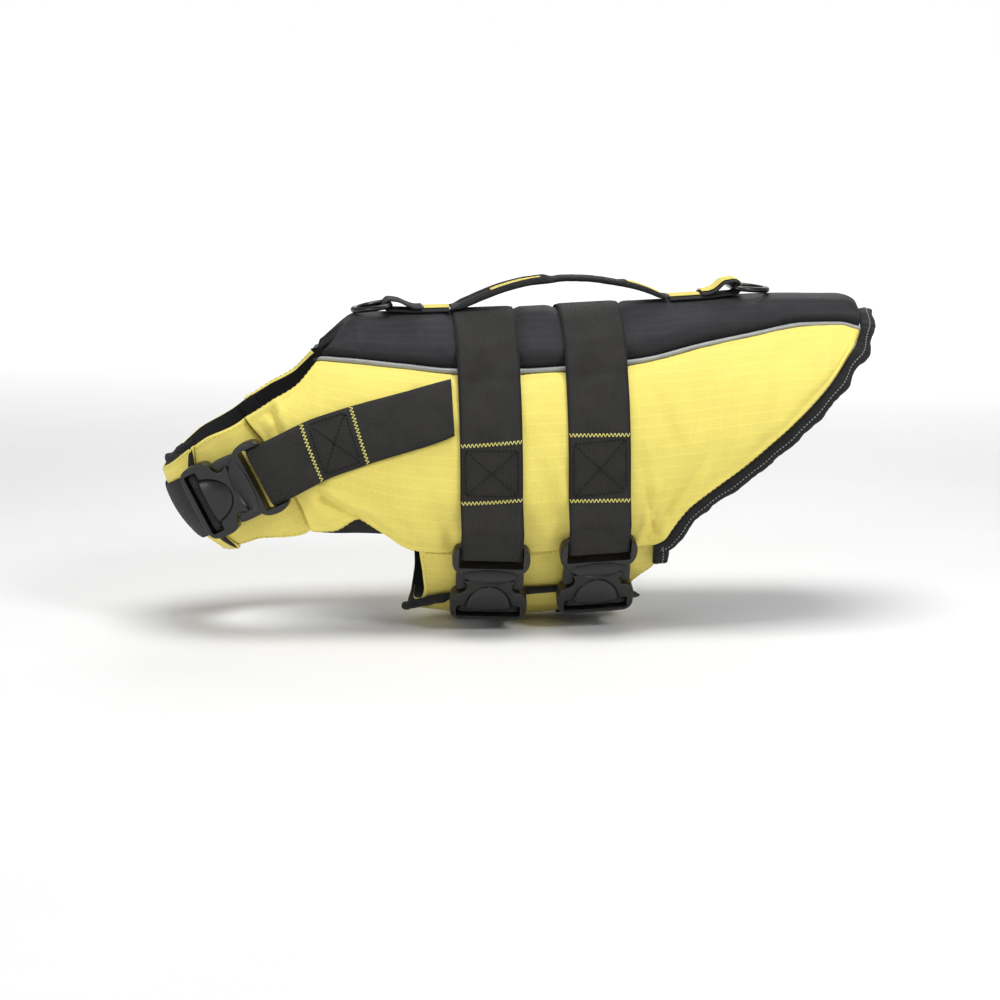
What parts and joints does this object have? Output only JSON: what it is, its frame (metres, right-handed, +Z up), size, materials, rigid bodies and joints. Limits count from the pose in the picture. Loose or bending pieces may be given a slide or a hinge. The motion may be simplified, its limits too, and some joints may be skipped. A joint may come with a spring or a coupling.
{
  "type": "dog life jacket",
  "caption": "Padded dog buoyancy jacket closed as worn: yellow sides, dark back, webbing belts with side-release buckles, lifting handle and D-rings.",
  "frame": {"origin": "on the wearer's spine, at the inner face of the back panel, where the jacket rests on the back", "axes": "+X towards the tail along the spine, +Z up, so the buckles are on the -Y side"},
  "size_m": [0.4484, 0.1601, 0.2158],
  "materials": {
    "yellow": "matte ripstop, light yellow",
    "dark": "matte ripstop, dark grey blue",
    "webbing": "ribbed woven webbing, near black",
    "binding": "matte elastic tape, black",
    "piping": "reflective tape, grey",
    "plastic": "satin moulded plastic, black",
    "metal": "dark coated steel"
  },
  "bodies": {
    "garment": {"back_panel": "dark", "side_panel_near": "yellow", "side_panel_far": "yellow", "piping_near": "piping", "piping_far": "piping", "hem_binding": "binding", "chest_flap_near": "yellow", "chest_flap_far": "yellow", "armhole_lining_near": "dark", "armhole_lining_far": "dark", "belly_flap_near": "yellow", "belly_flap_far": "yellow", "belly_flap_edge": "binding", "buckle_front_female": "plastic", "buckle_front_male": "plastic", "belt_front": "webbing", "buckle_rear_female": "plastic", "buckle_rear_male": "plastic", "belt_rear": "webbing", "buckle_chest_female": "plastic", "buckle_chest_male": "plastic", "chest_strap_near": "webbing", "chest_strap_far": "webbing", "strip_front": "binding", "ribbon_front_flat": "yellow", "strip_rear": "binding", "ribbon_rear_loop": "yellow", "ribbon_rear_flat": "yellow", "handle": "binding", "ribbon_handle_front": "yellow", "ribbon_handle_rear": "yellow"},
    "front_ring": {"ring_front": "metal"},
    "rear_ring": {"ring_rear": "metal"}
  },
  "joints": [
    {"name": "front_ring_hinge", "type": "hinge", "parent": "garment", "child": "front_ring", "pos_m": [-0.1356, 0, 0.01454], "axis": [0, 1, 0], "range_deg": [0, 140]},
    {"name": "rear_ring_hinge", "type": "hinge", "parent": "garment", "child": "rear_ring", "pos_m": [0.079, 0, 0.02388], "axis": [0, -1, 0], "range_deg": [0, 140]}
  ]
}
